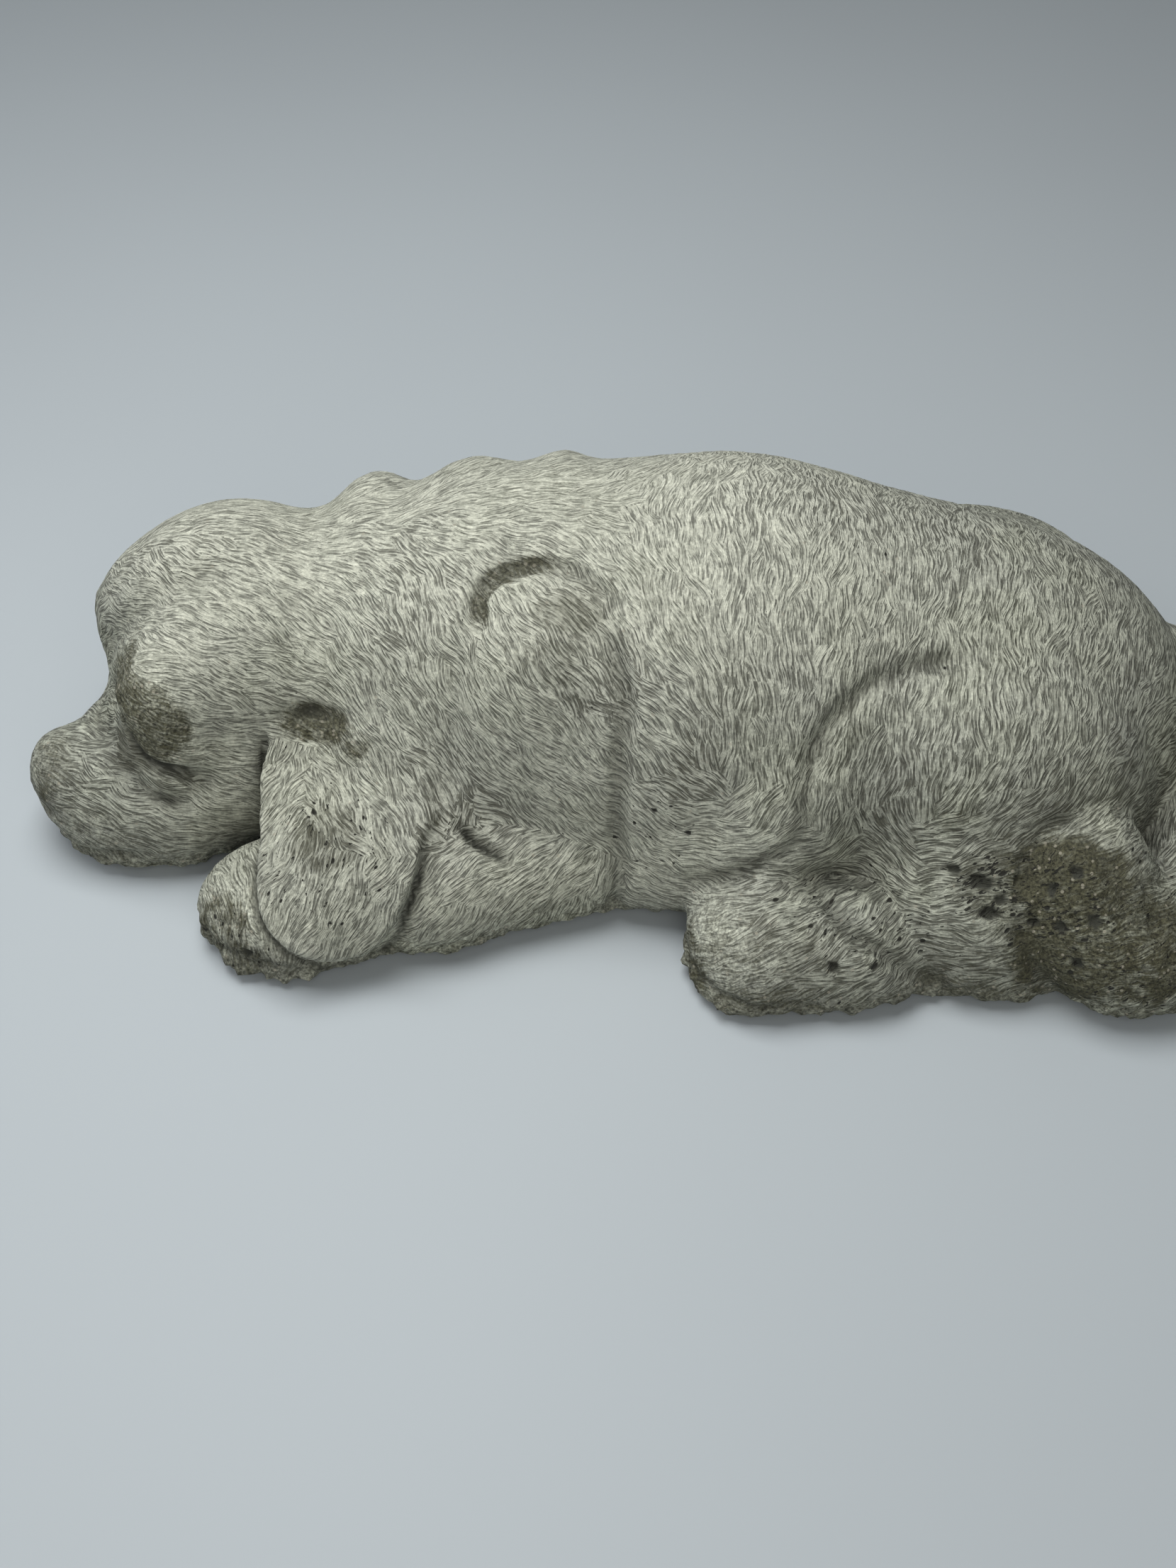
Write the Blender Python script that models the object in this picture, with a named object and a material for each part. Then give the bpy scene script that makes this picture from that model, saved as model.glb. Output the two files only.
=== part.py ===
"""Sleeping puppy, cast in one piece of concrete and lying flat on its underside.

The body, limbs and head are rounded masses run into one another, with the creases pressed
into them. They are set out in millimetres on a figure lying along X with its nose towards
-X, its underside at z = 0 and its head turned towards -Y, the near side, then scaled so that
it is LENGTH long.
"""
import bpy
import numpy as np

LENGTH = 0.345            # nose to the back of the tail, metres
FIGURE = 358.4            # the same on the figure as set out, millimetres; the rest are its sizes
TRUNK = 122.0             # middle of the chest to middle of the rump
GIRTH = 60.0              # half the width of the chest
BACK = 71.0               # height of the chest's mass above its middle
STANCE = 75.0             # forepaw out from the spine
FORELEG = 21.0
FOREPAW = 25.0
HIND_FOOT = 23.0
HAUNCH = 49.0
SKULL_SIZE = 42.0
MUZZLE = 29.0
BROW = 20.0
EYELID = 13.0
EAR_THICKNESS = 4.0
TAIL = 19.0
FAR_DROP = 8.0            # how much lower the far shoulder and haunch lie
CREASE = 3.2              # depth of the main creases
CREASE_WIDTH = 2.6        # half their width
BASE_ROUNDING = 7.0       # how far the rim round the underside tucks in
CELL = 2.0                # spacing of the samples
TRIANGLES = 9000          # faces the finished solid is brought down to

SPINE_Y = 49.0
CHEST_X = -32.0
RUMP_X = CHEST_X + TRUNK
SKULL = np.array([-112.0, 43.0, 44.0])
FACING = np.array([-0.85, -0.5, -0.16])


def unit(vector):
    vector = np.asarray(vector, float)
    return vector / np.linalg.norm(vector)


def axes_along(forward):
    """Rows: the forward direction, sideways, and upwards."""
    forward = unit(forward)
    sideways = unit(np.cross((0.0, 0.0, 1.0), forward))
    return np.stack([forward, sideways, np.cross(forward, sideways)])


HEAD_AXES = axes_along(FACING)


def head_point(forward, near, top):
    """A place measured from the middle of the skull; near is towards the curled side."""
    return SKULL + forward * HEAD_AXES[0] + near * HEAD_AXES[1] + top * HEAD_AXES[2]


def join(a, b, blend):
    """Distance to two masses run together, with a fillet of the given width."""
    h = np.clip(0.5 + 0.5 * (b - a) / blend, 0, 1)
    return b + (a - b) * h - blend * h * (1 - h)


def meet(a, b, blend):
    """Distance to what two masses have in common, its edge rounded."""
    return -join(-a, -b, blend)


def ellipsoid(p, centre, radii, axes=None):
    q = p - np.asarray(centre, p.dtype)
    if axes is not None:
        q = q @ np.asarray(axes, p.dtype).T
    radii = np.asarray(radii, p.dtype)
    reach = np.sqrt(((q / radii) ** 2).sum(1))
    slope = np.sqrt(((q / radii ** 2) ** 2).sum(1)) + 1e-9
    return reach * (reach - 1) / slope


def limb(p, points, radii):
    """Round limb through the points, its thickness changing from joint to joint."""
    body = None
    for i in range(len(points) - 1):
        start = np.asarray(points[i], p.dtype)
        run = np.asarray(points[i + 1], p.dtype) - start
        t = np.clip(((p - start) @ run) / (run @ run), 0, 1)
        away = np.sqrt(((p - start - t[:, None] * run) ** 2).sum(1))
        piece = away - (radii[i] + (radii[i + 1] - radii[i]) * t)
        body = piece if body is None else join(body, piece, 6.0)
    return body


def curve(points, steps=6):
    """Smooth line through the points."""
    pts = np.array(points, float)
    line = []
    for i in range(len(pts) - 1):
        before = pts[max(i - 1, 0)]
        start, end = pts[i], pts[i + 1]
        after = pts[min(i + 2, len(pts) - 1)]
        for j in range(steps):
            t = j / steps
            line.append(0.5 * (2 * start + (end - before) * t
                               + (2 * before - 5 * start + 4 * end - after) * t ** 2
                               + (3 * start - before - 3 * end + after) * t ** 3))
    line.append(pts[-1])
    return np.array(line)


def away_from_curve(p, line):
    best = np.full(len(p), 1e9, np.float32)
    for start, end in zip(line[:-1], line[1:]):
        start = start.astype(np.float32)
        run = end.astype(np.float32) - start
        t = np.clip(((p - start) @ run) / (run @ run), 0, 1)
        best = np.minimum(best, ((p - start - t[:, None] * run) ** 2).sum(1))
    return np.sqrt(best)


def crease(p, body, points, depth, width):
    """A valley pressed into the body along a line lying on it."""
    line = curve(points)
    margin = 3 * width + depth
    close = ((p > line.min(0) - margin) & (p < line.max(0) + margin)).all(1)
    close &= np.abs(body) < margin
    body = body.copy()
    away = away_from_curve(p[close], line)
    body[close] += depth * np.exp(-(away / width) ** 2)
    return body


def ring_distance(u, v, ring):
    """Signed distance in a plane to a closed outline, negative inside it."""
    best = np.full(u.shape, 1e9, np.float32)
    inside = np.zeros(u.shape, bool)
    for (au, av), (bu, bv) in zip(np.roll(ring, 1, axis=0), ring):
        run_u, run_v = bu - au, bv - av
        t = np.clip(((u - au) * run_u + (v - av) * run_v) / (run_u ** 2 + run_v ** 2), 0, 1)
        best = np.minimum(best, np.hypot(u - au - t * run_u, v - av - t * run_v))
        if run_v != 0:
            crossing = (av > v) != (bv > v)
            inside ^= crossing & (u < au + (v - av) * run_u / run_v)
    return np.where(inside, -best, best)


def lay_ear(p, body, bed, ring, root, outward):
    """An ear flap lying on its bed, its outline seen from outward, thinning out to its root.

    root is the two points of the ring between which the flap grows out of the head.
    """
    outward = unit(outward)
    across = unit(np.cross((0.0, 0.0, 1.0), outward))
    along = np.cross(outward, across)
    ring = np.array(ring, float)
    flat = np.stack([ring @ across, ring @ along], 1)
    outline = curve(np.concatenate([flat, flat[:1]]), 4)[:-1]
    close = ((p > ring.min(0) - 14) & (p < ring.max(0) + 14)).all(1)
    q = p[close]
    edge = ring_distance(q @ across.astype(p.dtype), q @ along.astype(p.dtype), outline)
    start, end = flat[root[0]], flat[root[1]]
    run = unit(end - start)
    turn = np.sign(np.cross(run, flat.mean(0) - start))
    u, v = q @ across.astype(p.dtype) - start[0], q @ along.astype(p.dtype) - start[1]
    lift = np.clip(turn * (run[0] * v - run[1] * u) / (5 * EAR_THICKNESS), 0, 1)
    above = lift * (1.5 * EAR_THICKNESS + 0.16 * np.clip(-edge, 0, 12)) - 0.5 * EAR_THICKNESS
    flap = meet(bed[close] - above, edge, 1.6)
    body = body.copy()
    body[close] = join(body[close], flap, 0.8 + 3 * (1 - lift))
    return body


def torso(p):
    body = ellipsoid(p, (CHEST_X, SPINE_Y, 26), (62, GIRTH, BACK))
    belly = ellipsoid(p, ((CHEST_X + RUMP_X) / 2 - 1, SPINE_Y, 28), (0.66 * TRUNK, 1.1 * GIRTH, BACK + 4))
    body = join(body, belly, 20)
    body = join(body, ellipsoid(p, (RUMP_X, SPINE_Y, 22), (76, GIRTH, BACK - 5)), 20)
    body = join(body, ellipsoid(p, (-74, SPINE_Y + 1, 34), (40, 46, 48)), 18)          # neck
    body = join(body, ellipsoid(p, (-47, 60, 66), (19, 36, 25)), 5)                    # rolls of skin
    body = join(body, ellipsoid(p, (-76, 58, 62), (15, 34, 24)), 6)
    return join(body, ellipsoid(p, (-22, 56, 76), (8, 36, 17)), 8)


def head(p):
    skull = ellipsoid(p, SKULL, (SKULL_SIZE - 1, SKULL_SIZE, SKULL_SIZE), HEAD_AXES)
    for side, fore, out in ((1, 20, 21), (-1, 14, 15)):
        brow = ellipsoid(p, head_point(fore, out * side, 12), (BROW + 2, BROW - 3, BROW), HEAD_AXES)
        skull = join(skull, brow, 5)
        cheek = ellipsoid(p, head_point(12, 28 * side, -18), (28, 18, 24), HEAD_AXES)
        skull = join(skull, cheek, 10)
    muzzle = limb(p, [head_point(10, 8, -25), head_point(38, 12, -24), head_point(50, 12, -25)],
                  [MUZZLE + 3, MUZZLE, 0.76 * MUZZLE])
    nose = ellipsoid(p, head_point(61, 8, -13), (12, 16, 14), HEAD_AXES)
    skull = join(skull, join(muzzle, nose, 5), 6)
    for side, out in ((1, 28), (-1, 24)):
        lid = ellipsoid(p, head_point(out, 27 * side, 3), (EYELID, EYELID - 1, EYELID + 3), HEAD_AXES)
        skull = join(skull, lid, 4)
        pouch = ellipsoid(p, head_point(out - 4, 34 * side, -12), (EYELID + 1, 9, 6), HEAD_AXES)
        skull = join(skull, pouch, 3)
    return skull


def beside(x, out, z, side):
    """A place out from the spine, on the near side (1) or the far side (-1)."""
    return (x, SPINE_Y - side * out, z)


def foreleg(p, side):
    joints = [beside(-6, STANCE - 28, 14, side), beside(-50, STANCE - 12, 12, side),
              beside(-88, STANCE, 10, side)]
    leg = limb(p, joints, [FORELEG, FORELEG, FORELEG - 2])
    paw = ellipsoid(p, beside(-91, STANCE, 8, side), (FOREPAW, FOREPAW - 5, FOREPAW - 6))
    return join(leg, paw, 6)


def hind_leg_added(p, body, side):
    lower = FAR_DROP if side < 0 else 0.0
    haunch = ellipsoid(p, beside(RUMP_X + 9, STANCE - 42, 30 - lower, side), (HAUNCH, 34, HAUNCH + 1))
    body = join(body, haunch, 4)
    shin = ellipsoid(p, beside(RUMP_X + 14, STANCE - 21, 7, side), (HAUNCH - 10, 33, HAUNCH - 11))
    body = join(body, shin, 8)
    foot = limb(p, [beside(RUMP_X - 46, STANCE, 8, side), beside(RUMP_X - 22, STANCE, 8, side),
                    beside(RUMP_X - 2, STANCE + 3, 3, side)], [HIND_FOOT, HIND_FOOT - 5, 9])
    return join(body, foot, 2.5)


def limbs_added(p, body):
    for side in (1, -1):
        body = join(body, foreleg(p, side), 4)
        lower = FAR_DROP if side < 0 else 0.0
        shoulder = ellipsoid(p, beside(CHEST_X + 3, STANCE - 43, 40 - lower, side), (28, 26, 50),
                             axes_along((1, 0, -0.2)))
        body = join(body, shoulder, 5)
        body = hind_leg_added(p, body, side)
    flank = curve([(0, 2, 14), (25, -1, 22), (42, -2, 32), (50, 2, 45)], 3)
    return join(body, limb(p, flank, [18] * len(flank)), 5)


def tail(p):
    line = curve([(RUMP_X + 68, 55, 36), (RUMP_X + 77, 22, 18), (RUMP_X + 68, -12, 13),
                  (RUMP_X + 51, -22, 14), (RUMP_X + 40, -18, 22), (RUMP_X + 36, -10, 36)], 4)
    share = np.linspace(0, 1, len(line))
    return limb(p, line, TAIL - 1.5 * share - 3 * share ** 8)


def creased(p, body):
    deep, shallow, wide = CREASE, 0.45 * CREASE, 1.4 * CREASE_WIDTH
    near_brow = [(-150, 28, 47), (-145, 25, 61), (-133, 24, 75), (-123, 27, 81), (-104, 33, 84)]
    body = crease(p, body, near_brow, deep, 1.5 * wide)
    under_lid = [(-147, 18, 48), (-139, 4, 53), (-137, 1, 48), (-132, -4, 43), (-127, -6, 41),
                 (-121, -6, 40), (-115, -5, 37)]
    body = crease(p, body, under_lid, 1.2 * deep, CREASE_WIDTH)
    body = crease(p, body, [(-133, -7, 32), (-128, -8, 31), (-121, -8, 30)], shallow, 0.8 * CREASE_WIDTH)
    body = crease(p, body, [(-152, 19, 38), (-144, 4, 39), (-137, -5, 35), (-132, -8, 32)], 0.6 * deep, wide)
    body = crease(p, body, [(-167, -1, 19), (-164, -4, 20), (-159, -8, 20)], shallow, 0.7 * CREASE_WIDTH)
    body = crease(p, body, [(-162, -4, 9), (-156, -9, 7), (-146, -13, 10), (-135, -14, 12)], shallow,
                  0.8 * CREASE_WIDTH)
    body = crease(p, body, [(-93, 5, 52), (-86, 7, 54), (-78, 5, 54)], 0.6 * deep, CREASE_WIDTH)
    blade = [(-38, 14, 84), (-39, 20, 87), (-37, 24, 90), (-33, 26, 92), (-26, 28, 94), (-20, 28, 94),
             (-13, 26, 94), (-8, 23, 92), (-5, 18, 90)]
    body = crease(p, body, blade, 1.1 * deep, CREASE_WIDTH)
    behind_shoulder = [(-4, 13, 87), (-1, 6, 80), (2, -1, 72), (1, -7, 62), (1, -12, 49), (1, -14, 36),
                       (2, -18, 23), (0, -16, 5)]
    body = crease(p, body, behind_shoulder, deep, 1.2 * CREASE_WIDTH)
    body = crease(p, body, [(-42, -15, 35), (-37, -17, 32), (-31, -19, 30), (-27, -22, 27)], deep,
                  0.9 * CREASE_WIDTH)
    body = crease(p, body, [(-43, 12, 81), (-45, -3, 58), (-50, -16, 34)], shallow, wide)
    belly = [(17, -20, 24), (29, -22, 29), (40, -22, 36), (49, -20, 43), (53, -16, 52)]
    body = crease(p, body, belly, shallow, CREASE_WIDTH)
    haunch = [(52, -19, 43), (50, -13, 57), (52, -6, 65), (57, 0, 72), (66, 7, 78), (77, 13, 80),
              (88, 16, 80)]
    body = crease(p, body, haunch, 1.2 * deep, 1.2 * CREASE_WIDTH)
    shin = [(56, -22, 29), (61, -28, 27), (67, -34, 24), (80, -37, 16), (95, -36, 4)]
    body = crease(p, body, shin, 0.7 * deep, CREASE_WIDTH)
    beside_tail = [(110, -17, 44), (109, -27, 29), (112, -32, 21), (121, -36, 9), (128, -37, 5)]
    body = crease(p, body, beside_tail, 0.9 * deep, CREASE_WIDTH)
    return crease(p, body, [(117, -14, 50), (129, -20, 50), (136, -32, 38), (149, -29, 33)], 0.7 * deep, wide)


def figure(p):
    """Distance from the points to the skin of the puppy, negative inside."""
    front = join(torso(p), head(p), 10)
    body = limbs_added(p, front)
    body = join(body, tail(p), 3)
    near_ear = [(-96, 4, 51), (-98, -3, 37), (-96, -18, 30), (-95, -30, 27), (-92, -41, 22), (-85, -46, 17),
                (-76, -46, 12), (-66, -42, 11), (-60, -39, 16), (-55, -35, 24), (-52, -28, 32),
                (-51, -20, 37), (-48, -10, 38), (-54, -6, 43), (-65, -1, 49), (-77, 4, 51), (-87, 6, 53)]
    bed = join(front, foreleg(p, 1), 34)
    root = np.array((-64, -8, 42), p.dtype)
    body = join(body, bed + 0.5 * np.clip(np.sqrt(((p - root) ** 2).sum(1)) - 15, 0, None), 5)
    body = lay_ear(p, body, bed, near_ear, (16, 12), (0, -0.68, 0.73))
    far_ring = [(-20, 14), (-2, 16), (8, 0), (10, -22), (2, -36), (-12, -38), (-24, -26), (-27, -4)]
    far_ear = [head_point(f, -46, t) for f, t in far_ring]
    body = lay_ear(p, body, front, far_ear, (0, 1), -HEAD_AXES[1] + 0.2 * HEAD_AXES[2])
    return creased(p, body)


def sampled(low, high, cell, coarse=4):
    """The figure's distance on a grid, worked out finely only near its skin."""
    low = np.array(low, float)
    count = np.ceil((np.array(high) - low) / (cell * coarse)).astype(int) + 1
    ticks = [low[i] + np.arange(count[i]) * cell * coarse for i in range(3)]
    points = np.stack(np.meshgrid(*ticks, indexing="ij"), -1).reshape(-1, 3).astype(np.float32)
    field = figure(points).reshape(count)
    for axis in range(3):
        place = np.arange((count[axis] - 1) * coarse + 1) / coarse
        start = np.minimum(place.astype(int), count[axis] - 2)
        shape = [1, 1, 1]
        shape[axis] = -1
        share = (place - start).astype(np.float32).reshape(shape)
        field = (np.take(field, start, axis=axis) * (1 - share)
                 + np.take(field, start + 1, axis=axis) * share)
    near = np.abs(field) < cell * coarse * 0.9
    points = (low + np.argwhere(near) * cell).astype(np.float32)
    field[near] = figure(points)
    ticks = [low[i] + np.arange(field.shape[i]) * cell for i in range(3)]
    return meet(field, np.broadcast_to(-ticks[2], field.shape), BASE_ROUNDING), low


def pinches_filled(field, cell):
    """Fills the few spots where the skin would otherwise touch itself along an edge."""
    field = field.copy()
    pinched = True
    while pinched:
        pinched = False
        for axis in range(3):
            inside = np.moveaxis(field < 0, axis, 0)
            a, b, c, d = inside[:, :-1, :-1], inside[:, 1:, 1:], inside[:, 1:, :-1], inside[:, :-1, 1:]
            spots = np.argwhere((a == b) & (c == d) & (a != c))
            view = np.moveaxis(field, axis, 0)
            for i, j, k in spots:
                corner = view[i, j:j + 2, k:k + 2]
                view[i, j:j + 2, k:k + 2] = np.minimum(corner, -0.2 * cell)
                pinched = True
    return field


def skin(field, low, cell):
    """Closed quad mesh on the zero level of a sampled distance, one vertex per crossed cell."""
    inside = field < 0
    offsets = np.array([(i, j, k) for i in (0, 1) for j in (0, 1) for k in (0, 1)])
    cells = np.array(field.shape) - 1
    filled = sum(inside[i:cells[0] + i, j:cells[1] + j, k:cells[2] + k].astype(int) for i, j, k in offsets)
    crossed = (filled > 0) & (filled < 8)
    index = np.argwhere(crossed)
    number = np.full(crossed.shape, -1)
    number[crossed] = np.arange(len(index))
    corners = [field[tuple((index + offset).T)] for offset in offsets]
    total = np.zeros((len(index), 3))
    hits = np.zeros(len(index))
    for i in range(8):
        for j in range(i + 1, 8):
            step = offsets[j] - offsets[i]
            if np.abs(step).sum() != 1:
                continue
            cut = (corners[i] < 0) != (corners[j] < 0)
            gap = np.where(cut, corners[i] - corners[j], 1)
            spot = offsets[i] + (corners[i] / gap)[:, None] * step
            total[cut] += spot[cut]
            hits[cut] += 1
    vertices = low + (index + total / hits[:, None]) * cell
    faces = []
    for axis in range(3):
        length = field.shape[axis]
        here = np.take(inside, range(length - 1), axis=axis)
        there = np.take(inside, range(1, length), axis=axis)
        edge = np.argwhere(here != there)
        steps = np.zeros((4, 3), int)
        steps[:, (axis + 1) % 3] = (1, 0, 0, 1)
        steps[:, (axis + 2) % 3] = (1, 1, 0, 0)
        quad = np.stack([number[tuple((edge - step).T)] for step in steps], 1)
        turned = there[tuple(edge.T)]
        quad[turned] = quad[turned][:, ::-1]
        faces.append(quad)
    return vertices, np.concatenate(faces)


def concrete():
    material = bpy.data.materials.new("cast concrete")
    material.use_nodes = True
    shader = material.node_tree.nodes["Principled BSDF"]
    shader.inputs["Base Color"].default_value = (0.36, 0.355, 0.30, 1.0)
    shader.inputs["Roughness"].default_value = 0.92
    shader.inputs["Metallic"].default_value = 0.0
    return material


def simplified(vertices, faces, triangles):
    """The same skin in fewer triangles, large where it is smooth."""
    mesh = bpy.data.meshes.new("skin")
    mesh.from_pydata(vertices.tolist(), [], faces.tolist())
    draft = bpy.data.objects.new("skin", mesh)
    bpy.context.scene.collection.objects.link(draft)
    thin = draft.modifiers.new("fewer triangles", "DECIMATE")
    thin.ratio = triangles / (2 * len(faces))
    thin.use_collapse_triangulate = True
    shaped = draft.evaluated_get(bpy.context.evaluated_depsgraph_get())
    result = bpy.data.meshes.new_from_object(shaped)
    bpy.data.objects.remove(draft)
    return result


def build():
    field, low = sampled((-196, -84, -8), (214, 184, 132), CELL)
    vertices, faces = skin(pinches_filled(field, CELL), low, CELL)
    mesh = simplified(vertices, faces, TRIANGLES)
    mesh.name = "puppy"
    places = np.array([vertex.co for vertex in mesh.vertices])
    places[np.abs(places[:, 2]) < 0.4, 2] = 0.0
    middle = (places.max(0) + places.min(0)) / 2
    places = (places - (middle[0], middle[1], 0.0)) * (LENGTH / FIGURE)
    mesh.vertices.foreach_set("co", places.ravel())
    mesh.materials.clear()
    mesh.materials.append(concrete())
    mesh.shade_smooth()
    puppy = bpy.data.objects.new("puppy", mesh)
    bpy.context.scene.collection.objects.link(puppy)
    return puppy


for old in list(bpy.data.objects):
    bpy.data.objects.remove(old)
build()
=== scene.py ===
import bmesh
import bpy
import math
import mathutils
import numpy as np
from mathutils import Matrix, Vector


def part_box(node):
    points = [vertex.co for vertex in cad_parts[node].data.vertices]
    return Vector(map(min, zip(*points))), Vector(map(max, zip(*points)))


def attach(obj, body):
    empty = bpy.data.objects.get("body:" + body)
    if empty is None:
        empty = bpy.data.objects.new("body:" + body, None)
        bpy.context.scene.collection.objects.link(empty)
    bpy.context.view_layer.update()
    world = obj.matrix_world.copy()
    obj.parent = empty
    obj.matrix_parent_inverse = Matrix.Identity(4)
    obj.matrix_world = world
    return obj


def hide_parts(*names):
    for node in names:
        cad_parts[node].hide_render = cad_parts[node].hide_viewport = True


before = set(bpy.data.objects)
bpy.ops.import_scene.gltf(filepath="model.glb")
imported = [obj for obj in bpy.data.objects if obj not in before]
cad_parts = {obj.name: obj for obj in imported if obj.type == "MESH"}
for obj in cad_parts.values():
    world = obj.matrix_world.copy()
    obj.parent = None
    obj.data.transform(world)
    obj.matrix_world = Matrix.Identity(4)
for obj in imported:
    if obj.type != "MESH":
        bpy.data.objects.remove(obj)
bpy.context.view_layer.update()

# The figure is set out in millimetres, nose towards -X, near side towards -Y, underside at z = 0.
puppy = {
    "length": 0.345, "figure": 358.4,      # real metres, and the same on the figure
    "cell": 1.32,                          # spacing of the fine skin's samples
    "trunk": 122.0, "girth": 60.0, "back": 71.0, "stance": 75.0,
    "foreleg": 21.0, "forepaw": 25.0, "hindFoot": 23.0, "haunch": 49.0,
    "skull": 42.0, "muzzle": 29.0, "brow": 20.0, "eyelid": 13.0,
    "earThickness": 4.0, "earFaces": (0, -0.68, 0.73), "tail": 19.0, "farDrop": 8.0, "baseRounding": 7.0,
    "spineY": 49.0, "chestX": -32.0,
    "skullAt": np.array([-112.0, 43.0, 44.0]), "facing": np.array([-0.85, -0.5, -0.16]),
    "earRoot": np.array([-64, -8, 42]),
}
puppy["rumpX"] = puppy["chestX"] + puppy["trunk"]

nearEar = [(-96, 4, 51), (-98, -3, 37), (-96, -18, 30), (-95, -30, 27), (-92, -41, 22), (-85, -46, 17),
           (-76, -46, 12), (-66, -42, 11), (-60, -39, 16), (-55, -35, 24), (-52, -28, 32), (-51, -20, 37),
           (-48, -10, 38), (-54, -6, 43), (-65, -1, 49), (-77, 4, 51), (-87, 6, 53)]

# Each crease: the line it follows on the skin, its depth and its half width.
creases = {
    "betweenBrows": ([(-150, 28, 47), (-145, 25, 61), (-133, 24, 75), (-123, 27, 81), (-104, 33, 84)],
                     3.2, 5.5),
    "underLid": ([(-147, 18, 48), (-139, 4, 53), (-137, 1, 48), (-132, -4, 43), (-127, -6, 41),
                  (-121, -6, 40), (-115, -5, 37)], 4.4, 2.6),
    "lowerLid": ([(-133, -7, 32), (-128, -8, 31), (-121, -8, 30)], 2.2, 2.1),
    "cheek": ([(-152, 19, 38), (-144, 4, 39), (-137, -5, 35), (-132, -8, 32)], 2.6, 3.4),
    "nostril": ([(-167, -1, 19), (-164, -4, 20), (-159, -8, 20)], 1.44, 1.8),
    "lip": ([(-162, -4, 9), (-156, -9, 7), (-146, -13, 10), (-135, -14, 12)], 1.44, 2.1),
    "overEar": ([(-93, 5, 52), (-86, 7, 54), (-78, 5, 54)], 1.92, 2.6),
    "blade": ([(-38, 14, 84), (-39, 20, 87), (-37, 24, 90), (-33, 26, 92), (-26, 28, 94), (-20, 28, 94),
               (-13, 26, 94), (-8, 23, 92), (-5, 18, 90)], 2.6, 2.2),
    "behindShoulder": ([(-4, 13, 87), (-1, 6, 80), (2, -1, 72), (1, -7, 62), (1, -12, 49), (1, -14, 36),
                        (2, -18, 23), (0, -16, 5)], 2.3, 2.6),
    "elbow": ([(-42, -15, 35), (-37, -17, 32), (-31, -19, 30), (-27, -22, 27)], 1.7, 1.9),
    "armFront": ([(-43, 12, 81), (-45, -3, 58), (-50, -16, 34)], 1.44, 3.6),
    "belly": ([(17, -20, 24), (29, -22, 29), (40, -22, 36), (49, -20, 43), (53, -16, 52)], 1.44, 2.6),
    "haunch": ([(52, -19, 43), (50, -13, 57), (52, -6, 65), (57, 0, 72), (66, 7, 78), (77, 13, 80),
                (88, 16, 80)], 2.4, 2.7),
    "shin": ([(56, -22, 29), (61, -28, 27), (67, -34, 24), (80, -37, 16), (95, -36, 4)], 2.24, 2.6),
    "besideTail": ([(110, -17, 44), (109, -27, 29), (112, -32, 21), (121, -36, 9), (128, -37, 5)],
                   1.4, 2.6),
    "overTail": ([(117, -14, 50), (129, -20, 50), (136, -32, 38), (149, -29, 33)], 2.24, 3.6),
}

# The sharp line at the bottom of a crease, or a fold or crack of its own: its depth and how much painted
# shade lies along it.
lines = {
    "betweenBrows": (creases["betweenBrows"][0], 0.5, 0.1),
    "lidCrease": ([(-145, 24, 53), (-139, 5, 55), (-138, 3, 47), (-135, -1, 43), (-131, -3, 41),
                   (-126, -5, 40), (-120, -4, 39), (-115, -4, 36)], 2.0, 1.0),
    "lowerLid": ([(-135, -5, 34), (-130, -7, 31), (-124, -8, 30), (-118, -7, 30)], 1.4, 0.8),
    "muzzleTop": ([(-152, 29, 37), (-151, 18, 37), (-148, 10, 38), (-142, 2, 38)], 0.8, 0.3),
    "nose": ([(-169, 2, 24), (-165, -3, 22), (-158, -8, 22)], 0.9, 0.5),
    "mouth": ([(-162, -4, 11), (-156, -8, 8), (-146, -13, 11), (-135, -13, 12), (-126, -11, 7)], 0.9, 0.5),
    "overEar": (creases["overEar"][0], 1.2, 0.9),
    "earFold": ([(-56, -14, 43), (-58, -20, 40), (-59, -26, 38), (-58, -31, 36), (-55, -34, 32)], 0.9, 0.15),
    "blade": (creases["blade"][0], 0.6, 0.1),
    "behindShoulder": (creases["behindShoulder"][0], 1.1, 0.25),
    "elbow": ([(-44, -15, 36), (-41, -15, 34), (-37, -17, 31), (-31, -19, 29), (-27, -22, 26)], 1.6, 1.0),
    "bellyFold": ([(10, -2, 73), (9, -8, 63), (11, -12, 52), (16, -15, 40), (24, -18, 36)], 0.7, 0.05),
    "belly": (creases["belly"][0], 0.8, 0.25),
    "haunch": ([(52, -18, 42), (51, -12, 55), (52, -4, 64), (57, 2, 71), (65, 8, 76), (77, 14, 78),
                (87, 17, 79), (97, 18, 81)], 1.1, 0.3),
    "shin": (creases["shin"][0], 1.1, 0.3),
    "besideTail": ([(110, -16, 45), (108, -22, 38), (109, -29, 32), (112, -33, 22), (120, -34, 10),
                    (128, -35, 5)], 0.5, 0.35),
    "overTail": ([(109, -16, 46), (114, -13, 50), (122, -12, 50), (129, -15, 50), (135, -21, 45)], 0.8, 0.3),
    "thighCrack": ([(97, -21, 40), (100, -25, 37), (103, -24, 38), (108, -25, 35)], 1.3, 0.9),
    "neckRoll": ([(-86, 71, 79), (-76, 44, 86), (-70, 28, 80)], 0.8, 0.0),
    "shoulderRoll": ([(-27, 77, 91), (-21, 55, 98)], 0.8, 0.0),
}

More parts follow.
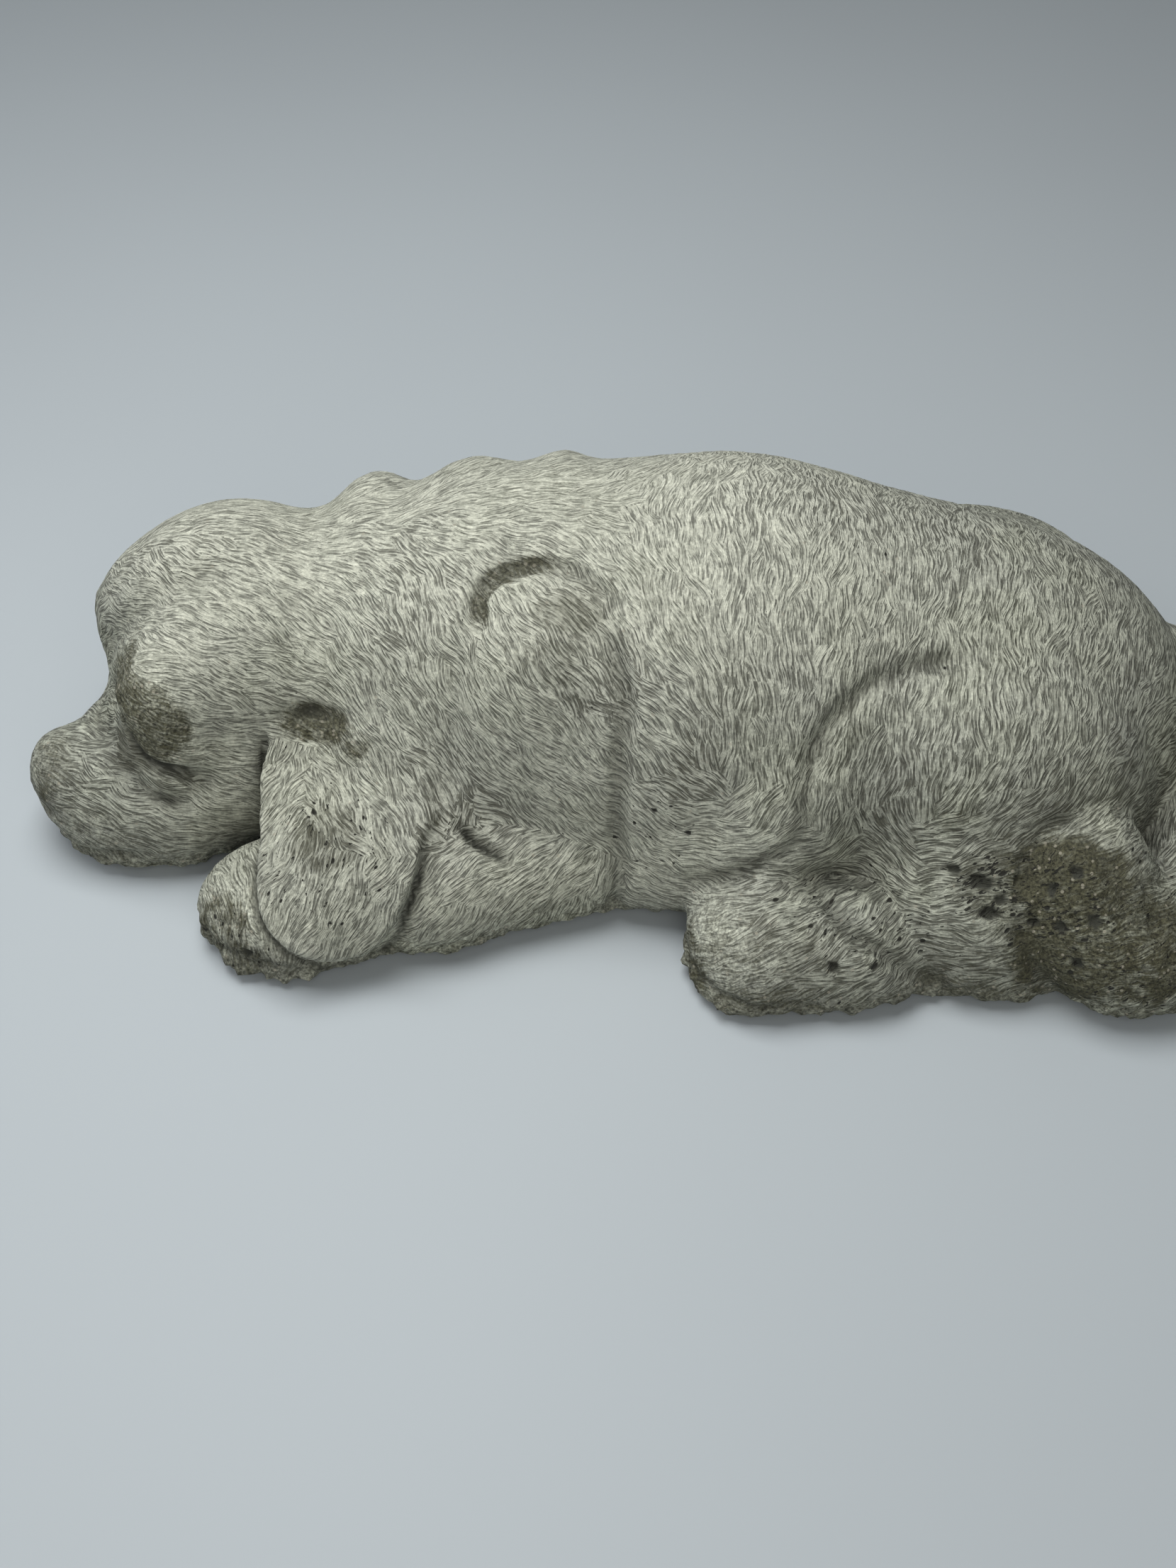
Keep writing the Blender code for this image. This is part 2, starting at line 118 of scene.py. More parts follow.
# The way the fur lies: a place on the skin, then the direction of the strokes there.
furLies = {
    "body": [
        (-158, 50, 48, 0, -0.6, -0.8), (-149, 48, 67, -0.5, -0.7, -0.5), (-111, 47, 86, 1, 0, 0),
        (-123, 27, 79, 0.7, -0.7, 0), (-94, 29, 79, 0.6, -0.6, -0.5), (-127, 4, 68, 0.9, -0.4, 0),
        (-107, 8, 68, 0.8, -0.1, -0.5), (-102, 5, 59, 0.9, 0.4, -0.1), (-87, 47, 83, 0.8, -0.5, 0.2),
        (-56, 40, 91, 0.8, -0.6, 0.1), (-50, 18, 83, 0.3, -0.8, -0.5), (-60, 3, 60, 0.5, -0.5, -0.7),
        (-62, -12, 47, 0.3, -0.9, 0.2), (-22, 10, 87, 0.9, -0.4, -0.3), (-9, -1, 71, 0.5, -0.4, -0.8),
        (-34, -10, 47, 0.7, -0.2, -0.7), (-20, -14, 33, 0.8, -0.3, -0.5), (-5, -13, 33, 0.6, 0, -0.8),
        (-19, 58, 98, 1, -0.4, 0), (1, 49, 100, 0.7, -0.7, 0.1), (-10, 30, 95, 0.8, -0.6, -0.2),
        (12, 30, 97, 0.5, -0.8, -0.2), (12, 62, 100, 0.7, -0.7, 0), (-4, 10, 86, 0.5, -0.7, -0.5),
        (28, 42, 102, 0.4, -0.9, -0.1), (89, 66, 87, 0.1, -1, 0.3), (111, 77, 77, 0.4, -0.8, 0.4),
        (40, 28, 98, -0.2, -0.9, -0.3), (3, 16, 89, 0, -0.8, -0.6), (49, 7, 83, -0.4, -0.7, -0.6),
        (83, 28, 87, 0.1, -0.9, -0.4), (29, 2, 81, 0.1, -0.7, -0.7), (42, -1, 75, 0.3, -0.5, -0.8),
        (14, 2, 79, 0.9, -0.3, -0.2), (17, -10, 60, 1, 0, 0.2), (28, -13, 54, 0.1, -0.3, -0.9),
        (17, -18, 32, 1, -0.3, -0.1), (42, -20, 40, 1, 0.1, 0.2), (48, -17, 46, 0.8, 0.6, 0.3),
        (56, -8, 60, -0.2, -0.7, -0.7), (63, -13, 46, 0.4, 0, -0.9), (97, 3, 76, 0, -0.9, -0.5),
        (107, -7, 66, 0.4, -0.5, -0.8), (73, -19, 27, 0.6, -0.8, -0.1), (64, -17, 26, 0.6, -0.8, -0.2),
        (100, -16, 48, -0.8, -0.2, -0.5), (120, -10, 54, -0.8, -0.4, -0.5), (145, 5, 36, -0.5, -0.8, 0.4),
        (90, -33, 22, -0.8, 0, -0.6), (103, -35, 23, -1, 0, -0.1), (124, -36, 12, -0.4, 0.6, -0.7),
        (141, -39, 27, -1, -0.2, -0.1), (141, 45, 71, 0.3, -0.9, -0.3), (148, 22, 53, -0.5, -0.8, -0.1),
        (-161, 0, 33, 0.9, -0.4, 0.2), (-154, -9, 25, 0.9, -0.3, -0.4), (-115, -8, 18, 0.8, 0.4, -0.4)],
    "ear": [
        (-85, -6, 47, -0.2, -0.8, -0.6), (-70, -28, 38, -0.6, -0.6, -0.5), (-59, -31, 36, 0.1, -0.7, -0.7),
        (-87, -37, 32, -0.2, -0.8, -0.5), (-80, -46, 23, -0.4, -0.4, -0.8)],
    "foreleg": [
        (-35, -25, 27, 0.8, 0.6, 0.1), (-27, -27, 11, 0.3, -0.1, 1), (-57, -37, 18, 0.7, 0.4, 0.5),
        (-74, -42, 5, 0.8, -0.2, 0.6), (-108, -38, 15, 0.3, -0.7, -0.6), (-111, -23, 19, 0.4, -0.6, 0.6),
        (-100, -44, 12, 0.3, -0.2, -1)],
    "foot": [
        (27, -29, 23, 0.6, -0.5, 0.6), (54, -33, 28, 0.6, 0.8, 0.1), (66, -41, 21, 0.6, 0.6, 0.6),
        (80, -40, 12, 0.8, 0.6, 0), (47, -46, 17, 1, 0.2, 0.1)],
}


def unit(vector):
    vector = np.asarray(vector, float)
    return vector / np.linalg.norm(vector)


def axesAlong(forward):
    forward = unit(forward)
    sideways = unit(np.cross((0.0, 0.0, 1.0), forward))
    return np.stack([forward, sideways, np.cross(forward, sideways)])


headAxes = axesAlong(puppy["facing"])


def headPoint(forward, near, top):
    return puppy["skullAt"] + forward * headAxes[0] + near * headAxes[1] + top * headAxes[2]


def join(a, b, blend):
    h = np.clip(0.5 + 0.5 * (b - a) / blend, 0, 1)
    return b + (a - b) * h - blend * h * (1 - h)


def meet(a, b, blend):
    return -join(-a, -b, blend)


def ellipsoid(p, centre, radii, axes=None):
    q = p - np.asarray(centre, p.dtype)
    if axes is not None:
        q = q @ np.asarray(axes, p.dtype).T
    radii = np.asarray(radii, p.dtype)
    reach = np.sqrt(((q / radii) ** 2).sum(1))
    slope = np.sqrt(((q / radii ** 2) ** 2).sum(1)) + 1e-9
    return reach * (reach - 1) / slope


def limb(p, points, radii):
    body = None
    for i in range(len(points) - 1):
        start = np.asarray(points[i], p.dtype)
        run = np.asarray(points[i + 1], p.dtype) - start
        t = np.clip(((p - start) @ run) / (run @ run), 0, 1)
        away = np.sqrt(((p - start - t[:, None] * run) ** 2).sum(1))
        piece = away - (radii[i] + (radii[i + 1] - radii[i]) * t)
        body = piece if body is None else join(body, piece, 6.0)
    return body


def curve(points, steps=6):
    pts = np.array(points, float)
    line = []
    for i in range(len(pts) - 1):
        before = pts[max(i - 1, 0)]
        start, end = pts[i], pts[i + 1]
        after = pts[min(i + 2, len(pts) - 1)]
        for j in range(steps):
            t = j / steps
            line.append(0.5 * (2 * start + (end - before) * t
                               + (2 * before - 5 * start + 4 * end - after) * t ** 2
                               + (3 * start - before - 3 * end + after) * t ** 3))
    line.append(pts[-1])
    return np.array(line)


def awayFromCurve(p, line):
    best = np.full(len(p), 1e9)
    for start, end in zip(line[:-1], line[1:]):
        start = start.astype(p.dtype)
        run = end.astype(p.dtype) - start
        t = np.clip(((p - start) @ run) / (run @ run), 0, 1)
        best = np.minimum(best, ((p - start - t[:, None] * run) ** 2).sum(1))
    return np.sqrt(best)


def creased(p, body):
    body = body.copy()
    for points, depth, width in creases.values():
        line = curve(points)
        margin = 3 * width + depth
        close = ((p > line.min(0) - margin) & (p < line.max(0) + margin)).all(1)
        close &= np.abs(body) < margin
        ends = np.minimum(np.linalg.norm(p[close] - line[0], axis=1),
                          np.linalg.norm(p[close] - line[-1], axis=1))
        fade = smoothStep(-width, 2.2 * width, ends)
        body[close] += fade * depth * np.exp(-(awayFromCurve(p[close], line) / width) ** 2)
    return body


def ringDistance(u, v, ring):
    best = np.full(u.shape, 1e9)
    inside = np.zeros(u.shape, bool)
    for (au, av), (bu, bv) in zip(np.roll(ring, 1, axis=0), ring):
        runU, runV = bu - au, bv - av
        t = np.clip(((u - au) * runU + (v - av) * runV) / (runU ** 2 + runV ** 2), 0, 1)
        best = np.minimum(best, np.hypot(u - au - t * runU, v - av - t * runV))
        if runV != 0:
            inside ^= ((av > v) != (bv > v)) & (u < au + (v - av) * runU / runV)
    return np.where(inside, -best, best)


# A ring of points seen from outward: the two directions across it and its smooth outline.
def flatOutline(ring, outward):
    outward = unit(outward)
    across = unit(np.cross((0.0, 0.0, 1.0), outward))
    axes = np.stack([across, np.cross(outward, across)])
    flat = np.array(ring, float) @ axes.T
    return axes, flat, curve(np.concatenate([flat, flat[:1]]), 4)[:-1]


# An ear flap lying on its bed, its outline seen from outward, thinning out to its root.
def layEar(p, body, bed, ring, root, outward):
    axes, flat, outline = flatOutline(ring, outward)
    ring = np.array(ring, float)
    close = ((p > ring.min(0) - 14) & (p < ring.max(0) + 14)).all(1)
    u, v = axes.astype(p.dtype) @ p[close].T
    edge = ringDistance(u, v, outline)
    start, end = flat[root[0]], flat[root[1]]
    run = unit(end - start)
    turn = np.sign(np.cross(run, flat.mean(0) - start))
    thickness = puppy["earThickness"]
    lift = np.clip(turn * (run[0] * (v - start[1]) - run[1] * (u - start[0])) / (5 * thickness), 0, 1)
    above = lift * (1.5 * thickness + 0.16 * np.clip(-edge, 0, 12)) - 0.5 * thickness
    flap = meet(bed[close] - above, edge, 1.6)
    body = body.copy()
    body[close] = join(body[close], flap, 0.8 + 3 * (1 - lift))
    return body


def torso(p):
    spine, chestX, rumpX = puppy["spineY"], puppy["chestX"], puppy["rumpX"]
    girth, back = puppy["girth"], puppy["back"]
    body = ellipsoid(p, (chestX, spine, 26), (62, girth, back))
    body = join(body, ellipsoid(p, ((chestX + rumpX) / 2 - 1, spine, 28),
                                (0.66 * puppy["trunk"], 1.1 * girth, back + 4)), 20)
    body = join(body, ellipsoid(p, (rumpX, spine, 22), (76, girth, back - 5)), 20)
    body = join(body, ellipsoid(p, (-74, spine + 1, 34), (40, 46, 48)), 18)      # neck
    body = join(body, ellipsoid(p, (-47, 60, 66), (19, 36, 25)), 5)              # rolls of skin
    body = join(body, ellipsoid(p, (-76, 58, 62), (15, 34, 24)), 6)
    return join(body, ellipsoid(p, (-22, 56, 76), (8, 36, 17)), 8)


def head(p):
    size, brow, lid, muzzle = puppy["skull"], puppy["brow"], puppy["eyelid"], puppy["muzzle"]
    skull = ellipsoid(p, puppy["skullAt"], (size - 1, size, size), headAxes)
    for side, fore, out in ((1, 20, 21), (-1, 14, 15)):
        skull = join(skull,
                     ellipsoid(p, headPoint(fore, out * side, 12), (brow + 2, brow - 3, brow), headAxes), 5)
        skull = join(skull, ellipsoid(p, headPoint(12, 28 * side, -18), (28, 18, 24), headAxes), 10)
    nose = ellipsoid(p, headPoint(61, 8, -13), (12, 16, 14), headAxes)
    snout = limb(p, [headPoint(10, 8, -25), headPoint(38, 12, -24), headPoint(50, 12, -25)],
                 [muzzle + 3, muzzle, 0.76 * muzzle])
    skull = join(skull, join(snout, nose, 5), 6)
    for side, out in ((1, 28), (-1, 24)):
        skull = join(skull, ellipsoid(p, headPoint(out, 27 * side, 3), (lid, lid - 1, lid + 3), headAxes), 4)
        skull = join(skull, ellipsoid(p, headPoint(out - 4, 34 * side, -12), (lid + 1, 9, 6), headAxes), 3)
    return skull


def beside(x, out, z, side):
    return (x, puppy["spineY"] - side * out, z)


def foreleg(p, side):
    stance, leg, paw = puppy["stance"], puppy["foreleg"], puppy["forepaw"]
    joints = [beside(-6, stance - 28, 14, side), beside(-50, stance - 12, 12, side),
              beside(-88, stance, 10, side)]
    return join(limb(p, joints, [leg, leg, leg - 2]),
                ellipsoid(p, beside(-91, stance, 8, side), (paw, paw - 5, paw - 6)), 6)


def hindFoot(p, side):
    stance, rumpX, foot = puppy["stance"], puppy["rumpX"], puppy["hindFoot"]
    return limb(p, [beside(rumpX - 46, stance, 8, side), beside(rumpX - 22, stance, 8, side),
                    beside(rumpX - 2, stance + 3, 3, side)], [foot, foot - 5, 9])


def limbsAdded(p, body):
    stance, rumpX, haunch = puppy["stance"], puppy["rumpX"], puppy["haunch"]
    for side in (1, -1):
        lower = puppy["farDrop"] if side < 0 else 0.0
        body = join(body, foreleg(p, side), 4)
        body = join(body,
                    ellipsoid(p, beside(puppy["chestX"] + 3, stance - 43, 40 - lower, side), (28, 26, 50),
                                    axesAlong((1, 0, -0.2))), 5)
        body = join(body, ellipsoid(p, beside(rumpX + 9, stance - 42, 30 - lower, side),
                                    (haunch, 34, haunch + 1)), 4)
        body = join(body,
                    ellipsoid(p, beside(rumpX + 14, stance - 21, 7, side), (haunch - 10, 33, haunch - 11)), 8)
        body = join(body, hindFoot(p, side), 2.5)
    flank = curve([(0, 2, 14), (25, -1, 22), (42, -2, 32), (50, 2, 45)], 3)
    return join(body, limb(p, flank, [18] * len(flank)), 5)


def tail(p):
    rumpX = puppy["rumpX"]
    line = curve([(rumpX + 68, 55, 36), (rumpX + 77, 22, 18), (rumpX + 68, -12, 13), (rumpX + 51, -22, 14),
                  (rumpX + 40, -18, 22), (rumpX + 36, -10, 36)], 4)
    share = np.linspace(0, 1, len(line))
    return limb(p, line, puppy["tail"] - 1.5 * share - 3 * share ** 8)


# Distance from points to the skin, negative inside.
def figure(p):
    front = join(torso(p), head(p), 10)
    body = join(limbsAdded(p, front), tail(p), 3)
    bed = join(front, foreleg(p, 1), 34)
    root = puppy["earRoot"].astype(p.dtype)
    body = join(body, bed + 0.5 * np.clip(np.sqrt(((p - root) ** 2).sum(1)) - 15, 0, None), 5)
    body = layEar(p, body, bed, nearEar, (16, 12), puppy["earFaces"])
    farRing = [(-20, 14), (-2, 16), (8, 0), (10, -22), (2, -36), (-12, -38), (-24, -26), (-27, -4)]
    body = layEar(p, body, front, [headPoint(f, -46, t) for f, t in farRing], (0, 1),
                  -headAxes[1] + 0.2 * headAxes[2])
    return meet(creased(p, body), -p[:, 2], puppy["baseRounding"])


def sampled(low, high, cell, coarse=4):
    low = np.array(low, float)
    count = np.ceil((np.array(high) - low) / (cell * coarse)).astype(int) + 1
    ticks = [low[i] + np.arange(count[i]) * cell * coarse for i in range(3)]
    points = np.stack(np.meshgrid(*ticks, indexing="ij"), -1).reshape(-1, 3).astype(np.float32)
    field = figure(points).reshape(count).astype(np.float32)
    for axis in range(3):
        place = np.arange((count[axis] - 1) * coarse + 1) / coarse
        start = np.minimum(place.astype(int), count[axis] - 2)
        shape = [1, 1, 1]
        shape[axis] = -1
        share = (place - start).astype(np.float32).reshape(shape)
        field = np.take(field, start, axis=axis) * (1 - share) + np.take(field, start + 1, axis=axis) * share
    near = np.abs(field) < cell * coarse * 0.9
    field[near] = figure((low + np.argwhere(near) * cell).astype(np.float32))
    return field, low


def pinchesFilled(field, cell):
    pinched = True
    while pinched:
        pinched = False
        for axis in range(3):
            view = np.moveaxis(field, axis, 0)
            inside = view < 0
            a, b, c, d = inside[:, :-1, :-1], inside[:, 1:, 1:], inside[:, 1:, :-1], inside[:, :-1, 1:]
            for i, j, k in np.argwhere((a == b) & (c == d) & (a != c)):
                view[i, j:j + 2, k:k + 2] = np.minimum(view[i, j:j + 2, k:k + 2], -0.2 * cell)
                pinched = True
    return field


# Closed quad mesh on the zero level of a sampled distance.
def skin(field, low, cell):
    inside = field < 0
    offsets = np.array([(i, j, k) for i in (0, 1) for j in (0, 1) for k in (0, 1)])
    cells = np.array(field.shape) - 1
    filled = sum(inside[i:cells[0] + i, j:cells[1] + j, k:cells[2] + k].astype(int) for i, j, k in offsets)
    crossed = (filled > 0) & (filled < 8)
    index = np.argwhere(crossed)
    number = np.full(crossed.shape, -1)
    number[crossed] = np.arange(len(index))
    corners = [field[tuple((index + offset).T)] for offset in offsets]
    total = np.zeros((len(index), 3))
    hits = np.zeros(len(index))
    for i in range(8):
        for j in range(i + 1, 8):
            step = offsets[j] - offsets[i]
            if np.abs(step).sum() != 1:
                continue
            cut = (corners[i] < 0) != (corners[j] < 0)
            gap = np.where(cut, corners[i] - corners[j], 1)
            spot = offsets[i] + (corners[i] / gap)[:, None] * step
            total[cut] += spot[cut]
            hits[cut] += 1
    vertices = low + (index + total / hits[:, None]) * cell
    faces = []
    for axis in range(3):
        length = field.shape[axis]
        here = np.take(inside, range(length - 1), axis=axis)
        there = np.take(inside, range(1, length), axis=axis)
        edge = np.argwhere(here != there)
        steps = np.zeros((4, 3), int)
        steps[:, (axis + 1) % 3] = (1, 0, 0, 1)
        steps[:, (axis + 2) % 3] = (1, 1, 0, 0)
        quad = np.stack([number[tuple((edge - step).T)] for step in steps], 1)
        turned = there[tuple(edge.T)]
        quad[turned] = quad[turned][:, ::-1]
        faces.append(quad)
    return vertices, np.concatenate(faces)


# Value and gradient of the figure's distance.
def slopes(points, step=0.35):
    value = figure(points)
    gradient = np.stack([(figure(points + step * axis) - figure(points - step * axis)) / (2 * step)
                         for axis in np.eye(3)], 1)
    return value, gradient


# Smooth noise from -1 to 1 at points of any dimension up to 3, one wave per unit.
def latticeNoise(q, seed=0):
    q = np.asarray(q, float)
    cell = np.floor(q).astype(np.int64)
    part = q - cell
    ease = part ** 3 * (part * (part * 6 - 15) + 10)
    total = np.zeros(len(q))
    primes = np.array([73856093, 19349663, 83492791])[:q.shape[1]]
    for corner in np.ndindex(*(2,) * q.shape[1]):
        corner = np.array(corner)
        key = ((cell + corner) * primes).sum(1) ^ (seed * 2654435761)
        key = (key ^ (key >> 13)) * 1274126177 & 0xffffffff
        key = (key ^ (key >> 16)) * 2246822519 & 0xffffffff
        grade = np.stack([((key >> (8 * i)) & 255) / 127.5 - 1 for i in range(q.shape[1])], 1)
        reach = part - corner
        weight = np.where(corner, ease, 1 - ease).prod(1)
        total += weight * (grade * reach).sum(1)
    return total * 1.6


# The lie of the fur at each point, from the guides and their mirror images on the far side.
def furDirections(points, normals, part):
    spread = np.zeros((len(points), 3, 3))
    for group, guides in enumerate(furLies.values()):
        guides = np.array(guides, float)
        flipped = guides * (1, -1, 1, 1, -1, 1) + (0, 2 * puppy["spineY"], 0, 0, 0, 0)
        match = np.where(part == group, 1.0, 0.004)
        for guide in np.concatenate([guides, flipped]):
            nearness = np.exp(-((points - guide[:3]) ** 2).sum(1) / (2 * 17.0 ** 2)) + 1e-7
            way = unit(guide[3:])
            flat = way - normals * (normals @ way)[:, None]
            spread += (match * nearness)[:, None, None] * flat[:, :, None] * flat[:, None, :]
    return np.linalg.eigh(spread)[1][:, :, 2]


# The two tufts that each face belongs to, a tuft being longer along its fur than across.
def nearestTufts(centres, faceNormals, facePart, seeds):
    finder = mathutils.kdtree.KDTree(len(seeds["at"]))
    for i, at in enumerate(seeds["at"]):
        finder.insert(at, i)
    finder.balance()
    found = np.array([[hit[1] for hit in finder.find_n(centre, 7)] for centre in centres])
    away = centres[:, None, :] - seeds["at"][found]
    along = (away * seeds["lie"][found]).sum(2)
    across = (away * seeds["side"][found]).sum(2)
    rank = np.hypot(along / fur["stretch"], across) + 8.0 * (seeds["part"][found] != facePart[:, None])
    rank += 4.0 * (1 - (seeds["normal"][found] * faceNormals[:, None, :]).sum(2))
    order = np.argsort(rank, axis=1)[:, :2]
    return np.take_along_axis(found, order, axis=1)


# Distance from points on the skin to a line near it, measured along the skin, and how far
# from the line's ends.
def besideLine(points, normals, line):
    best, reach = np.full(len(points), 99.0), np.zeros(len(points))
    line = curve(line, 8)
    close = np.flatnonzero(((points > line.min(0) - 9) & (points < line.max(0) + 9)).all(1))
    for i, at in enumerate(line):
        away = points[close] - at
        off = (away * normals[close]).sum(1)
        beside = np.sqrt(np.maximum((away ** 2).sum(1) - off ** 2, 0)) + 3 * np.maximum(np.abs(off) - 7, 0)
        nearer = close[beside < best[close]]
        best[close] = np.minimum(best[close], beside)
        reach[nearer] = min(i, len(line) - 1 - i) / 12
    return best, np.clip(reach, 0, 1)


def smoothStep(low, high, x):
    t = np.clip((x - low) / (high - low), 0, 1)
    return t * t * (3 - 2 * t)


# 1 at the centre of a soft patch, 0 outside it.
def spot(points, centre, radii):
    return 1 - smoothStep(0.55, 1.15, np.sqrt((((points - np.array(centre)) / np.array(radii)) ** 2).sum(1)))


field, low = sampled((-196, -84, -8), (214, 184, 132), puppy["cell"])
points, quads = skin(pinchesFilled(field, puppy["cell"]), low, puppy["cell"])
value, gradient = slopes(points)
top = points[:, 2] > 0.6
points[top] -= (value / np.maximum((gradient ** 2).sum(1), 0.2))[top, None] * gradient[top]
points[points[:, 2] < 0.05, 2] = 0.0
value, gradient = slopes(points)
normals = gradient / np.linalg.norm(gradient, axis=1, keepdims=True)
print("skin:", len(points), "points,", len(quads), "faces")

# Which piece of the figure each point lies on: 0 body, 1 ear, 2 foreleg, 3 hind foot.
bare = join(limbsAdded(points, join(torso(points), head(points), 10)), tail(points), 3)
legs = np.minimum(foreleg(points, 1), foreleg(points, -1))
feet = np.minimum(hindFoot(points, 1), hindFoot(points, -1))
part = np.zeros(len(points), int)
part[legs < 1.5] = 2
part[feet < 1.0] = 3
onEar = (bare > 1.6) & (np.linalg.norm(points - puppy["earRoot"], axis=1) > 22)
part[onEar] = 1

# The fur is cut in tufts, each with its strokes side by side along the lie of the fur there.
fur = {
    "spacing": 7.0, "stretch": 1.8,                # from tuft to tuft, and how much longer than wide
    "stray": 0.16, "bend": 0.6, "wave": 2.4,       # radians, then mm
    "pitch": 1.6, "length": 6.0, "height": 0.2,    # the carved strokes
}
chance = np.random.default_rng(11)
shuffled = chance.permutation(len(points))
keys = np.floor(points[shuffled] / fur["spacing"]).astype(int)
chosen = shuffled[np.unique(keys, axis=0, return_index=True)[1]]
lie = furDirections(points[chosen], normals[chosen], part[chosen])
side = np.cross(normals[chosen], lie)
stray = chance.normal(0, fur["stray"], len(chosen))[:, None]
lie, side = lie * np.cos(stray) + side * np.sin(stray), side * np.cos(stray) - lie * np.sin(stray)
seeds = {"at": points[chosen], "normal": normals[chosen], "part": part[chosen], "lie": lie, "side": side,
         "phase": chance.uniform(0, 100, len(chosen))}
tufts = nearestTufts(points[quads].mean(1), normals[quads].mean(1), part[quads[:, 0]], seeds)
corners = points[quads]
strokes, ranks = [], []
for layer in (0, 1):
    tuft = tufts[:, layer]
    away = corners - seeds["at"][tuft][:, None, :]
    along = (away * seeds["lie"][tuft][:, None, :]).sum(2)
    across = (away * seeds["side"][tuft][:, None, :]).sum(2)
    phase = seeds["phase"][tuft][:, None]
    strokes.append(np.stack([along + 5 * phase, across + fur["bend"] * np.sin(along / fur["wave"] + phase),
                             np.broadcast_to(phase, along.shape)], 2))
    ranks.append(np.hypot(along / fur["stretch"], across))
share = np.clip(0.5 + (ranks[1] - ranks[0]) / 2.0, 0, 1)
print("fur laid in", len(chosen), "tufts")

# Where the cast skin is worn down to the sand, crumbly, dirty, pale with the wash and painted light, or full
# of pits.
patches = {
    "worn": [((-134, 8, 57), (17, 18, 13), 1.0), ((-128, -3, 56), (15, 14, 14), 1.0),    # closed eyelid
             ((-83, 6, 51), (13, 8, 7), 0.9), ((-72, 1, 50), (8, 7, 6), 0.6),            # over the ear
             ((121, -26, 42), (19, 15, 16), 1.0), ((124, -36, 24), (20, 14, 20), 0.9),   # end of the tail
             ((143, -34, 26), (20, 18, 22), 0.75),
             ((-165, -3, 22), (8, 8, 7), 0.4), ((22, -34, 8), (13, 12, 12), 0.6),
             ((-104, -38, 16), (14, 12, 14), 0.5)],
    "dirty": [((-77, -24, 38), (12, 14, 12), 0.7), ((-15, 16, 88), (12, 8, 7), 0.7),
              ((-19, 4, 82), (11, 9, 10), 0.45), ((101, -25, 38), (14, 12, 12), 0.7),
              ((108, -18, 44), (12, 10, 10), 0.7), ((-136, 0, 42), (9, 11, 8), 1.0),
              ((-163, 2, 28), (13, 14, 14), 0.6), ((142, -34, 22), (24, 16, 24), 0.7),
              ((30, 0, 79), (12, 12, 10), 0.4), ((74, -14, 40), (18, 12, 14), 0.35),
              ((138, -28, 34), (18, 16, 14), 0.5), ((-124, -8, 38), (14, 8, 8), 0.5),
              ((29, -42, 8), (22, 14, 10), 0.45), ((139, -2, 46), (18, 16, 16), 0.4),
              ((45, -38, 14), (36, 16, 20), 0.45), ((-150, -2, 18), (26, 22, 18), 0.45),
              ((-103, -40, 12), (16, 16, 14), 0.7), ((126, -32, 34), (30, 22, 34), 1.0),
              ((146, -32, 30), (20, 20, 26), 1.0), ((-30, -26, 12), (34, 12, 10), 0.3)],
    "pitted": [((-76, -28, 34), (24, 22, 20), 0.5), ((101, -25, 37), (14, 12, 11), 0.9),
               ((118, -27, 36), (22, 18, 20), 0.8), ((70, -30, 26), (26, 18, 18), 0.5),
               ((10, -16, 40), (18, 14, 24), 0.3), ((-100, -40, 10), (20, 14, 14), 0.5),
               ((140, -30, 24), (40, 30, 26), 0.6)],
    # Small gouges beside the tail, on it and over the foot.
    "gouged": [((98, -24, 38), (3.6, 3.6, 1.8), 1.0), ((101, -30, 32), (3.8, 3.6, 1.6), 1.0),
               ((91, -21, 39), (2.6, 3, 1.4), 0.8), ((61, -42, 20), (1.6, 3.0, 1.8), 0.9),
               ((104, -27, 35), (2.2, 3, 1.5), 0.8), ((112, -21, 44), (2.6, 3, 1.8), 0.9),
               ((116, -27, 40), (1.8, 3, 3), 1.0), ((119, -34, 32), (2.2, 3, 2.0), 1.0),
               ((113, -32, 30), (2.6, 3, 1.6), 0.9), ((125, -38, 24), (2.0, 3, 2.0), 0.9),
               ((122, -25, 45), (2.4, 3, 1.8), 0.9), ((128, -33, 36), (1.8, 3, 2.2), 0.9),
               ((130, -38, 16), (2.4, 3, 1.6), 0.9), ((-98, -45, 12), (2.0, 3, 1.6), 0.8)],
}
mask = {name: np.maximum.reduce([amount * spot(points, centre, radii) for centre, radii, amount in spots])
        for name, spots in patches.items()}


def atLeast(name, amount):
    mask[name] = np.maximum(mask[name], amount)


x, z, facingUp = points[:, 0], points[:, 2], normals[:, 2]
ragged = 0.5 * latticeNoise(points / 6.0, 21) + 0.5 * latticeNoise(points / 3.0, 22)
arc = besideLine(points, normals, creases["blade"][0])[0]
arcEnd = (1 - 0.9 * smoothStep(-28, -9, x)) * smoothStep(80, 86, z)
atLeast("worn", 0.85 * (1 - smoothStep(0.2, 4.4, arc)) * arcEnd)
mask["worn"] = smoothStep(0.05, 0.95, mask["worn"] + 0.5 * ragged * (mask["worn"] > 0.02))
# Darker towards the rump and on faces that do not look up; the stains below are fewer on faces that look up.
atLeast("dirty", 0.6 * smoothStep(20, 115, x) * (1 - 0.7 * smoothStep(0.2, 0.9, facingUp)))
stains = smoothStep(0.05, 0.55, latticeNoise(points / 24.0, 23))
atLeast("dirty", 0.36 * stains * (1 - 0.8 * smoothStep(0.5, 0.95, facingUp)))
mask["dirty"] = np.clip(mask["dirty"] * (1 + 0.9 * ragged), 0, 1)
